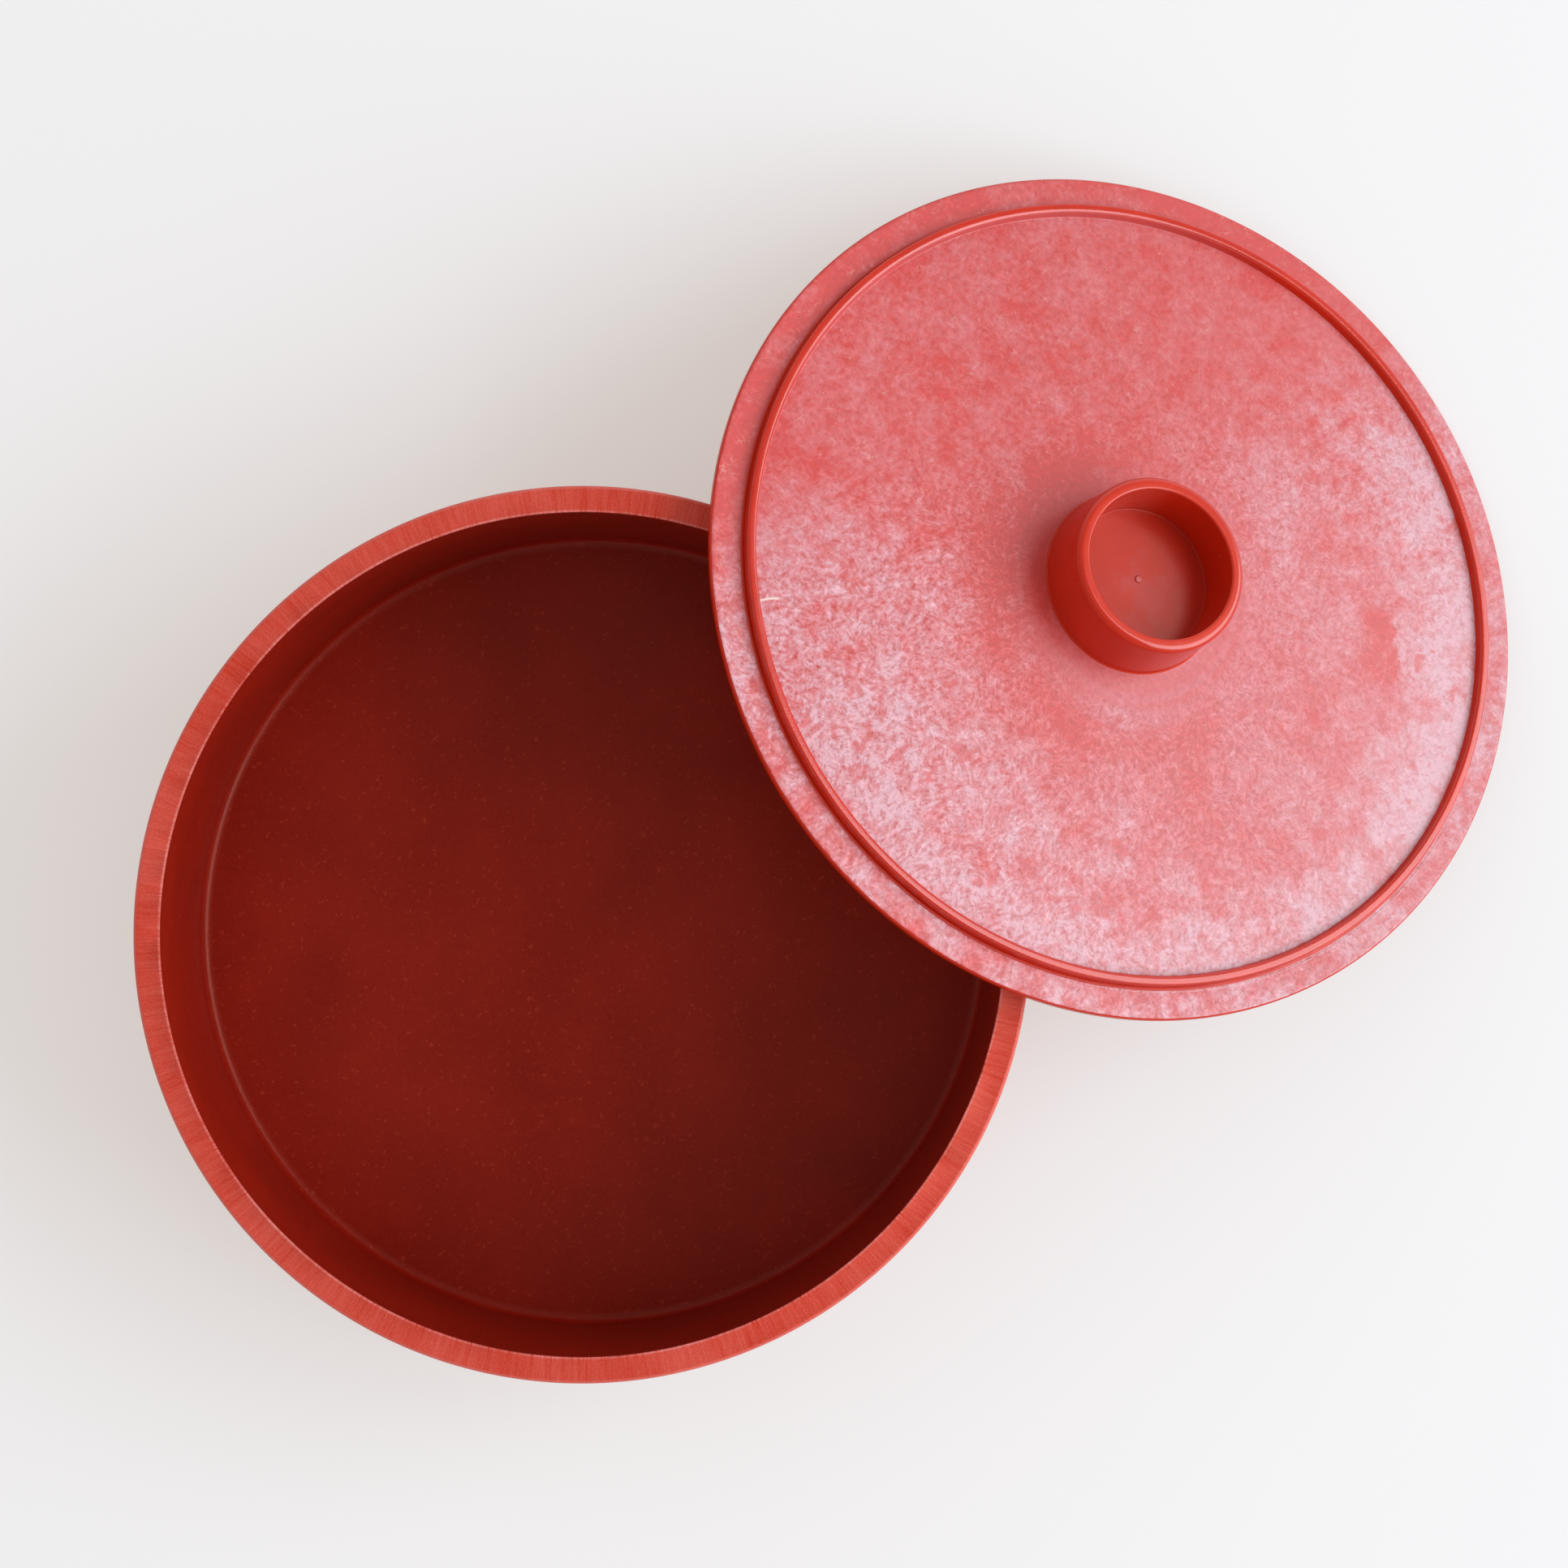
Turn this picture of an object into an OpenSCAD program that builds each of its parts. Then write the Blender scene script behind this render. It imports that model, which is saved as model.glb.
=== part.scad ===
// Round dish with a domed lid that lifts off. Both are single mouldings.
// The lid is shown taken off: it leans on the dish's rim, with its far edge on the table.
// Millimetres, +Z up. The origin is the centre of the dish's underside, on the table.
// +X points from the dish towards the low edge of the leaning lid.

/* [Dish] */
// Outer diameter of the flat rim
rim_d = 216; // [190:1:250]
// Height of the rim's top face above the table
dish_h = 69; // [52:1:84]
// Width of the rim's flat top face
rim_w = 6.4; // [4.5:0.1:9]
// Thickness of the rim where it stands out past the wall
rim_t = 3; // [2:0.1:5]
// Thickness of the side wall
wall_t = 2.6; // [1.8:0.1:4]
// Thickness of the floor
floor_t = 2.6; // [1.8:0.1:4]
// Slope of the side wall, in degrees
wall_draft = 1; // [0:0.25:3]
// Radius of the fillet where the wall meets the floor inside
floor_fillet = 2.5; // [1:0.25:8]
// Radius of the dish's outer bottom corner
heel_round = 5; // [2:0.5:10]
// Radius on the rim's edges
rim_round = 1; // [0.4:0.1:1.4]

/* [Foot ring] */
// Outer diameter of the foot ring
foot_d = 184; // [120:1:190]
// Height of the foot ring below the floor
foot_h = 3.4; // [1:0.1:6]
// Width of the foot ring where it stands on the table
foot_w = 3; // [2:0.1:6]

/* [Lid] */
// How far the lid's edge stands out past the rim (negative is inside it)
lid_over = 0; // [-1:0.1:2]
// Thickness of the lid's flat edge
flange_t = 2.3; // [1.8:0.1:4]
// Radius on the lid's outer edge
flange_round = 0.8; // [0.3:0.1:0.9]
// Thickness of the domed panel
panel_t = 2.4; // [1.8:0.1:4]
// Rise of the dome from the bead to the foot of the knob
dome_rise = 4.9; // [3:0.1:14]
// Depth of the locating skirt under the lid
skirt_h = 3; // [2:0.1:6]
// Thickness of the locating skirt
skirt_t = 2.6; // [1.6:0.1:4]

/* [Bead] */
// Width of the raised bead at its foot
bead_w = 2.7; // [2.2:0.1:4]
// Height of the bead above the lid's flat edge
bead_h = 3.1; // [1.5:0.1:4]
// Distance from the skirt's outer face in to the middle of the bead
bead_set = 1.85; // [1.4:0.05:2.6]
// Radius on the bead's two top edges
bead_round = 0.55; // [0.3:0.05:0.75]
// Width of the low step at the bead's outer foot
step_w = 0.4; // [0.2:0.05:0.8]
// Height of that step
step_h = 0.3; // [0.1:0.05:0.5]

/* [Knob] */
// Outer diameter of the knob at its lip
knob_d = 44.2; // [34:0.2:60]
// Height of the lip above the dome at the knob's foot
knob_h = 16.9; // [12:0.1:30]
// How far the knob's foot stands out past its lip
knob_flare = 0.75; // [0.2:0.05:3]
// Thickness of the knob's wall at its lip
knob_wall = 3.1; // [2.2:0.1:5]
// Depth of the cup inside the knob
cup_depth = 13.5; // [8:0.1:14]
// How far the cup narrows from its lip to its floor
cup_taper = 0.8; // [0:0.1:2]
// Radius of the fillet round the cup's floor
cup_fillet = 0.6; // [0.3:0.1:3]
// Radius on the outer edge of the knob's lip
lip_round = 1.1; // [0.4:0.05:1.3]
// Radius on the inner edge of the knob's lip
lip_inner = 0.5; // [0.2:0.05:0.8]
// Radius of the small fillet at the knob's foot
foot_fillet = 0.6; // [0.2:0.05:0.7]

/* [Gate marks] */
// Diameter of the moulding gate's mark
gate_d = 1.6; // [1:0.1:4]
// Height of the gate's mark above the surface round it
gate_h = 0.35; // [0.1:0.05:0.8]
// Diameter of the shallow dimple round the dish's gate mark
dimple_d = 14; // [8:1:30]
// Depth of that dimple
dimple_h = 0.5; // [0.2:0.1:1]

/* [Fit and lean] */
// Gap between the lid's skirt and the inside of the rim when the lid is on
skirt_gap = 0.7; // [0.3:0.1:2]
// Distance from the lid's centre to the place where it leans on the rim
lean_at = 55; // [45:1:70]
// Gap left where the lid leans on the rim
lean_gap = 0.25; // [0.1:0.05:0.5]
// Gap left between the lid's low edge and the table
table_gap = 0.15; // [0.1:0.05:0.5]

/* [Hidden] */
$fn = 200;
arc_step = 12; // degrees turned by each facet of a small round corner
dome_steps = 24; // stretches along the dome's curve
dish_color = [0.69, 0.19, 0.18];
lid_color = [0.84, 0.34, 0.36];

rim_r = rim_d / 2;
bowl_r = rim_r - rim_w; // inside of the rim
floor_top = foot_h + floor_t;
foot_r = foot_d / 2;
foot_draft = 0.6; // the foot ring is this much wider at its root, each side
rim_under = 2; // fillet under the rim

lid_r = rim_r + lid_over;
skirt_r = bowl_r - skirt_gap;
bead_r = skirt_r - bead_set; // middle of the bead
bead_in = bead_r - bead_w / 2;
bead_out = bead_r + bead_w / 2;
bead_lean = 0.35; // each side of the bead slopes in by this much
knob_r = knob_d / 2;
knob_foot_r = knob_r + knob_flare;
cup_r = knob_r - knob_wall;
dome_top = flange_t + dome_rise; // height of the dome at the knob's foot
lip_top = dome_top + knob_h;
cup_floor = lip_top - cup_depth;
recess_top = cup_floor - panel_t; // underside of the cup's floor
recess_r = cup_r - cup_taper - 1;

// The dome is part of a sphere through the bead's inner foot and the knob's foot.
dome_mid = (bead_in ^ 2 + flange_t ^ 2 - knob_foot_r ^ 2 - dome_top ^ 2) / (2 * (flange_t - dome_top));
dome_r = norm([bead_in, flange_t - dome_mid]);
under_r = dome_r - panel_t;

function on_dome(r, sphere_r) = [r, dome_mid + sqrt(sphere_r ^ 2 - r ^ 2), 0];
function dome_curve(from, to, sphere_r) =
    [for (i = [0 : dome_steps]) on_dome(from + (to - from) * i / dome_steps, sphere_r)];

// Radius of the side wall's inner face at height z
function bowl_at(z) = bowl_r - (dish_h - z) * tan(wall_draft);

// A corner b between a and c, as [r, z, radius], turned into an arc that its edges have room for
function corner(a, b, c) =
    let (u = [a[0] - b[0], a[1] - b[1]], v = [c[0] - b[0], c[1] - b[1]])
    let (uu = u / norm(u), vv = v / norm(v))
    let (half = acos(max(-1, min(1, uu * vv))) / 2)
    b[2] <= 0 || half > 89.5 ? [[b[0], b[1]]] :
    let (t = min(b[2] / tan(half), 0.49 * min(norm(u), norm(v))), r = t * tan(half))
    let (mid = [b[0], b[1]] + (uu + vv) / norm(uu + vv) * r / sin(half))
    let (s = [b[0], b[1]] + uu * t - mid, e = [b[0], b[1]] + vv * t - mid)
    let (start = atan2(s[1], s[0]), raw = atan2(e[1], e[0]) - start)
    let (turn = raw > 180 ? raw - 360 : raw < -180 ? raw + 360 : raw)
    let (n = max(2, ceil(abs(turn) / arc_step)))
    [for (i = [0 : n]) mid + r * [cos(start + turn * i / n), sin(start + turn * i / n)]];

function rounded(p) =
    [for (i = [0 : len(p) - 1]) each corner(p[(i + len(p) - 1) % len(p)], p[i], p[(i + 1) % len(p)])];

// Where the lid leans. Both places are centres of rounded edges, in the lid's own profile:
// the rim's outer edge, held against the dome's underside, and the lid's lowest edge.
rest_angle = asin(lean_at / under_r);
rest_reach = under_r - rim_round - lean_gap;
rim_spot = [-rest_reach * sin(rest_angle), dome_mid + rest_reach * cos(rest_angle)];
rim_rise = dish_h - rim_round;
edge_spots = [
    [lid_r - flange_round, flange_round, flange_round],
    [skirt_r - skirt_round(), -skirt_h + skirt_round(), skirt_round()]
];
function skirt_round() = min(0.8, skirt_t / 3);
function lean_for(spot) =
    let (run = spot[0] - rim_spot[0], lift = rim_spot[1] - spot[1])
    asin((rim_rise - table_gap - spot[2]) / norm([run, lift])) - atan2(lift, run);
lean = min([for (spot = edge_spots) lean_for(spot)]);
lid_z = table_gap + max([for (s = edge_spots) s[2] + s[0] * sin(lean) - s[1] * cos(lean)]);
lid_x = rim_r - rim_round - rim_spot[0] * cos(lean) - rim_spot[1] * sin(lean);

dish_outline = rounded([
    [0, floor_top, 0],
    [bowl_at(floor_top), floor_top, floor_fillet],
    [bowl_r, dish_h, 0.3],
    [rim_r, dish_h, rim_round],
    [rim_r, dish_h - rim_t, rim_round],
    [bowl_at(dish_h - rim_t) + wall_t, dish_h - rim_t, rim_under],
    [bowl_at(foot_h) + wall_t, foot_h, heel_round],
    [foot_r + foot_draft, foot_h, 0.8],
    [foot_r, 0, 0.6],
    [foot_r - foot_w, 0, 0.6],
    [foot_r - foot_w - foot_draft, foot_h, 0.8],
    [dimple_d / 2 + dimple_h, foot_h, 0],
    [dimple_d / 2, foot_h + dimple_h, 0],
    [gate_d / 2 + gate_h / 2, foot_h + dimple_h, 0],
    [gate_d / 2, foot_h + dimple_h - gate_h, 0.15],
    [0, foot_h + dimple_h - gate_h, 0]
]);

lid_outline = rounded(concat(
    [
        [0, recess_top, 0],
        [recess_r, recess_top, 1.2]
    ],
    dome_curve(recess_r + 0.6, skirt_r - skirt_t - 0.6, under_r),
    [
        [skirt_r - skirt_t, on_dome(skirt_r - skirt_t, under_r)[1], 0],
        [skirt_r - skirt_t, -skirt_h, skirt_round()],
        [skirt_r, -skirt_h, skirt_round()],
        [skirt_r, 0, 0.3],
        [lid_r, 0, flange_round],
        [lid_r, flange_t, flange_round],
        [bead_out + step_w, flange_t, 0],
        [bead_out + step_w / 2, flange_t + step_h, 0.15],
        [bead_out, flange_t + step_h, 0.2],
        [bead_out - bead_lean, flange_t + bead_h, bead_round],
        [bead_in + bead_lean, flange_t + bead_h, bead_round]
    ],
    dome_curve(bead_in, knob_foot_r + 1.5, dome_r),
    [
        [knob_foot_r, dome_top, foot_fillet],
        [knob_r, lip_top, lip_round],
        [cup_r, lip_top, lip_inner],
        [cup_r - cup_taper, cup_floor, cup_fillet],
        [gate_d / 2 + gate_h / 2, cup_floor, 0],
        [gate_d / 2, cup_floor + gate_h, 0.15],
        [0, cup_floor + gate_h, 0]
    ]
));

// The dish: floor, drafted wall, flat rim and foot ring in one moulding
module base_dish() {
    color(dish_color)
        rotate_extrude() polygon(dish_outline);
}

// The lid: flat edge, bead, dome, locating skirt and cup-shaped knob in one moulding
module lid() {
    color(lid_color)
        translate([lid_x, 0, lid_z])
            rotate([0, lean, 0])
                rotate_extrude() polygon(lid_outline);
}

base_dish();
lid();
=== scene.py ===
# Round dish with a domed lid that lifts off, two mouldings in red fibre-filled plastic.
# Sizes are in millimetres, and become metres where a mesh is made.
import math

import bpy
from mathutils import Matrix, Vector, noise


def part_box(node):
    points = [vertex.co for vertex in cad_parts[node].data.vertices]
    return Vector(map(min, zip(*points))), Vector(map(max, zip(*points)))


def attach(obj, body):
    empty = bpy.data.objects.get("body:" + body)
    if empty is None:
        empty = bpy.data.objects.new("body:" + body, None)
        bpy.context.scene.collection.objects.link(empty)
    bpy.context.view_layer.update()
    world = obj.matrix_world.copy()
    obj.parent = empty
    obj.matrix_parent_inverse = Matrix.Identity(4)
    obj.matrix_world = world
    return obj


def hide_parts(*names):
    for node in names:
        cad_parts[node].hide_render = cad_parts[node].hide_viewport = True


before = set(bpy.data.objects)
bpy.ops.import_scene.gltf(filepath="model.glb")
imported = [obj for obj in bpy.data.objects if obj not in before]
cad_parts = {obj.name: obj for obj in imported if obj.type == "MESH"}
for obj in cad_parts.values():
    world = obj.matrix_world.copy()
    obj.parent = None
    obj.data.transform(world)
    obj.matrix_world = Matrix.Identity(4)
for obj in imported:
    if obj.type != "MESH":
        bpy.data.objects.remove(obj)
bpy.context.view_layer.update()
mm = 0.001
print("frame loaded with", ", ".join(sorted(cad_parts)))

# how an outline is drawn before it is turned round its axis
outline = {
    "stepAngle": 12,  # degrees turned by each facet of a rounded corner
    "fewestFacets": 3,
    "straight": 89.5,  # degrees, half the angle above which a corner is left as it is
    "edgeShare": 0.49,  # how much of an edge one corner's arc may take up
    "hold": 0.35,  # from a bend to the point beside it that keeps a long run flat
    "longRun": 3,  # a run of more holds than this is long
    "leastBend": 2,  # degrees
}


def arcCorner(before, corner, after):
    # the corner's arc, as wide as its two edges have room for
    at, radius, tag = Vector(corner[:2]), corner[2], corner[3]
    towards, onwards = Vector(before[:2]) - at, Vector(after[:2]) - at
    u, v = towards.normalized(), onwards.normalized()
    half = u.angle(v) / 2
    if radius <= 0 or half > math.radians(outline["straight"]):
        return [(at.x, at.y, tag)]
    room = outline["edgeShare"] * min(towards.length, onwards.length)
    reach = min(radius / math.tan(half), room)
    bend = reach * math.tan(half)
    middle = at + (u + v).normalized() * bend / math.sin(half)
    first, last = at + u * reach - middle, at + v * reach - middle
    start = math.atan2(first.y, first.x)
    turn = (math.atan2(last.y, last.x) - start + math.pi) % (2 * math.pi) - math.pi
    facets = math.ceil(abs(math.degrees(turn)) / outline["stepAngle"])
    facets = max(outline["fewestFacets"], facets)
    angles = [start + turn * k / facets for k in range(facets + 1)]
    return [(middle.x + bend * math.cos(a), middle.y + bend * math.sin(a), tag) for a in angles]


def roundOutline(corners):
    # corners are (radius, height, roundness, tag), where roundness and tag may be left out
    corners = [(*c, *(0, "")[len(c) - 2:]) for c in corners]
    spots = [corners[0][:2] + corners[0][3:]]
    for before, corner, after in zip(corners, corners[1:], corners[2:]):
        spots += arcCorner(before, corner, after)
    spots.append(corners[-1][:2] + corners[-1][3:])
    ways = [Vector((b[0] - a[0], b[1] - a[1])) for a, b in zip(spots, spots[1:])]
    bends = [0] + [a.angle(b) for a, b in zip(ways, ways[1:])] + [0]
    hold, leastBend = outline["hold"], math.radians(outline["leastBend"])
    held = [spots[0]]
    for k, way in enumerate(ways):
        last, spot, run = spots[k], spots[k + 1], way.length
        ends = [(hold / run, last[2], bends[k]), (1 - hold / run, spot[2], bends[k + 1])]
        for share, tag, bend in ends if run > outline["longRun"] * hold else []:
            if bend > leastBend:
                held.append((last[0] + way.x * share, last[1] + way.y * share, tag))
        held.append(spot)
    return held


def turnedMesh(name, spots, segments, stray, matrix, zone, materials):
    # stray(tag, azimuth) moves a tagged point a little in radius and height;
    # zone(radius, height) is the number of the material there
    verts = [(0, 0, spots[0][1])]
    rings = spots[1:-1]
    tags = {spot[2] for spot in rings}
    for k in range(segments):
        azimuth = 2 * math.pi * k / segments
        moved = {tag: stray(tag, azimuth) for tag in tags}
        for r, z, tag in rings:
            out = r + moved[tag][0]
            verts.append((out * math.cos(azimuth), out * math.sin(azimuth), z + moved[tag][1]))
    verts.append((0, 0, spots[-1][1]))
    count, last, faces = len(rings), len(verts) - 1, []
    for k in range(segments):
        here, following = 1 + k * count, 1 + (k + 1) % segments * count
        faces.append((0, here, following))
        for j in range(count - 1):
            faces.append((here + j, here + j + 1, following + j + 1, following + j))
        faces.append((here + count - 1, last, following + count - 1))
    mesh = bpy.data.meshes.new(name)
    mesh.from_pydata(verts, [], faces)
    # each point keeps its own place in millimetres, for the material's patterns
    own = mesh.attributes.new("ownPlace", "FLOAT_VECTOR", "POINT")
    own.data.foreach_set("vector", [x for vert in verts for x in vert])
    for material in materials:
        mesh.materials.append(material)
    bands = [zone((a[0] + b[0]) / 2, (a[1] + b[1]) / 2) for a, b in zip(spots, spots[1:])]
    mesh.polygons.foreach_set("material_index", bands * segments)
    mesh.transform(matrix @ Matrix.Scale(mm, 4))
    mesh.shade_smooth()
    piece = bpy.data.objects.new(name, mesh)
    bpy.context.scene.collection.objects.link(piece)
    return piece


def roundNoise(azimuth, size, seed):
    # noise from -1 to 1 that closes on itself round the axis
    return noise.noise(Vector((math.cos(azimuth) * size, math.sin(azimuth) * size, seed)))


def roundWaves(azimuth, level, *waves):
    # a level and the noises on it, each as (amount, size, seed)
    return sum((amount * roundNoise(azimuth, size, seed) for amount, size, seed in waves), level)


class Wire:
    # a socket that can stand in a sum
    def __init__(self, paint, socket):
        self.paint = paint
        self.socket = socket

    def out(self, name):
        return Wire(self.paint, self.socket.node.outputs[name])

    def __add__(self, other):
        return self.paint.maths("ADD", self, other)

    def __sub__(self, other):
        return self.paint.maths("SUBTRACT", self, other)

    def __rsub__(self, other):
        return self.paint.maths("SUBTRACT", other, self)

    def __mul__(self, other):
        return self.paint.maths("MULTIPLY", self, other)

    def __truediv__(self, other):
        return self.paint.maths("DIVIDE", self, other)

    def __rtruediv__(self, other):
        return self.paint.maths("DIVIDE", other, self)

    __radd__ = __add__
    __rmul__ = __mul__


plasticIor = 1.5
raggedBorder = {"size": 0.4, "reach": 0.7}  # as shares of a cell, where two ways of fibres meet


class Paint:
    # the nodes of one material, or of the world
    def __init__(self, owner):
        owner.use_nodes = True
        self.owner = owner
        self.tree = owner.node_tree
        self.tree.nodes.clear()

    def node(self, kind, settings, sockets):
        made = self.tree.nodes.new(kind)
        for setting, value in settings.items():
            setattr(made, setting, value)
        for key, value in sockets.items():
            shown = [s for s in made.inputs if s.enabled and s.name == key]
            socket = made.inputs[key] if isinstance(key, int) else shown[0]
            if isinstance(value, Wire):
                self.tree.links.new(value.socket, socket)
            else:
                socket.default_value = value
        return Wire(self, next((s for s in made.outputs if s.enabled), None))

    def maths(self, operation, *values):
        return self.node("ShaderNodeMath", {"operation": operation}, dict(enumerate(values)))

    def vector(self, operation, *values):
        sockets = dict(enumerate(values))
        return self.node("ShaderNodeVectorMath", {"operation": operation}, sockets)

    def scaled(self, way, amount):
        sockets = {"Vector": way, "Scale": amount}
        return self.node("ShaderNodeVectorMath", {"operation": "SCALE"}, sockets)

    def length(self, way):
        return self.vector("LENGTH", way).out("Value")

    def reach(self, way, direction):
        return self.vector("DOT_PRODUCT", way, direction).out("Value")

    def towards(self, flat, degrees):
        # how far a point lies towards an azimuth
        turn = math.radians(degrees)
        return self.reach(flat, (math.cos(turn), math.sin(turn), 0))

    def combined(self, x=0.0, y=0.0, z=0.0):
        return self.node("ShaderNodeCombineXYZ", {}, {"X": x, "Y": y, "Z": z})

    def height(self, place):
        return self.node("ShaderNodeSeparateXYZ", {}, {"Vector": place}).out("Z")

    def ease(self, value, low, high):
        # 0 at low, 1 at high, and smooth between
        span = {"Value": value, "From Min": low, "From Max": high}
        return self.node("ShaderNodeMapRange", {"interpolation_type": "SMOOTHSTEP"}, span)

    def between(self, value, low, high, soft):
        fall = self.ease(value, high - soft, high + soft)
        return self.ease(value, low - soft, low + soft) * (1 - fall)

    def stack(self, shares, patterns):
        # named patterns, each times its share, on a plain level
        terms = [v if name == "level" else v * patterns[name] for name, v in shares.items()]
        return sum(terms[1:], terms[0])

    def blend(self, mask, first, second):
        sockets = {"Factor": mask, "A": first, "B": second}
        return self.node("ShaderNodeMix", {"data_type": "RGBA"}, sockets)

    def tint(self, colour, amount):
        # the colour made lighter or darker by a number
        sockets = {"Factor": 1.0, "A": colour, "B": self.combined(amount, amount, amount)}
        settings = {"data_type": "RGBA", "blend_type": "MULTIPLY"}
        return self.node("ShaderNodeMix", settings, sockets)

    def cloud(self, place, size, detail=2.0, rough=0.5):
        sockets = {"Vector": place, "Scale": 1 / size, "Detail": detail, "Roughness": rough}
        return self.node("ShaderNodeTexNoise", {}, sockets)

    def drift(self, place, size, detail=2.0, rough=0.5):
        # the same noise, about nought
        return self.cloud(place, size, detail, rough) - 0.5

    def specks(self, place, low, high, size, detail=2.0, rough=0.5):
        # the parts of a noise that stand over a level
        return self.ease(self.cloud(place, size, detail, rough), low, high)

    def place(self):
        return self.node("ShaderNodeAttribute", {"attribute_name": "ownPlace"}, {}).out("Vector")

    def flat(self, place):
        return self.vector("MULTIPLY", place, (1, 1, 0))

    def lookingRay(self):
        # 1 for what the camera sees, straight or in a reflection
        path = self.node("ShaderNodeLightPath", {}, {})
        either = self.maths("MAXIMUM", path.out("Is Camera Ray"), path.out("Is Glossy Ray"))
        return self.maths("MAXIMUM", either, path.out("Is Transmission Ray"))

    def fibres(self, place, cell, length, width, shift, spread):
        # noise drawn out along one way, which each cell of a coarse pattern turns at random
        # off the way outwards, by up to half the spread
        ragged = self.cloud(place, raggedBorder["size"] * cell).out("Color")
        around = self.vector("ADD", place, self.scaled(ragged, raggedBorder["reach"] * cell))
        cells = self.node("ShaderNodeTexVoronoi", {}, {"Vector": around, "Scale": 1 / cell})
        middle = self.node("ShaderNodeSeparateXYZ", {}, {"Vector": cells.out("Position")})
        outwards = self.maths("ARCTAN2", middle.out("Y"), middle.out("X"))
        chance = self.node("ShaderNodeSeparateColor", {}, {"Color": cells.out("Color")})
        sockets = {"Vector": place, "Angle": (chance - 0.5) * spread - outwards}
        turned = self.node("ShaderNodeVectorRotate", {"rotation_type": "Z_AXIS"}, sockets)
        drawn = self.vector("MULTIPLY", turned, (1 / length, 1 / width, 1 / width))
        return self.drift(self.vector("ADD", drawn, (shift, 0, 0)), 1.0, detail=1.0)

    def hairs(self, place, size, width, shift):
        # thin curly lines, where a noise passes its middle
        wave = self.drift(self.vector("ADD", place, (0, 0, shift)), size, detail=1.0)
        return 1 - self.ease(self.maths("ABSOLUTE", wave), 0.0, width)

    def finish(self, gloss, colour, roughness, height, depth):
        bumps = {"Strength": 1.0, "Distance": depth * mm, "Height": height}
        sockets = {
            "Base Color": colour,
            "Roughness": roughness,
            "Normal": self.node("ShaderNodeBump", {}, bumps),
            "IOR": plasticIor,
            "Specular IOR Level": gloss["level"],
            "Specular Tint": gloss["tint"],
        }
        shader = self.node("ShaderNodeBsdfPrincipled", {}, sockets)
        self.node("ShaderNodeOutputMaterial", {}, {"Surface": shader})
        return self.owner


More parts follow.
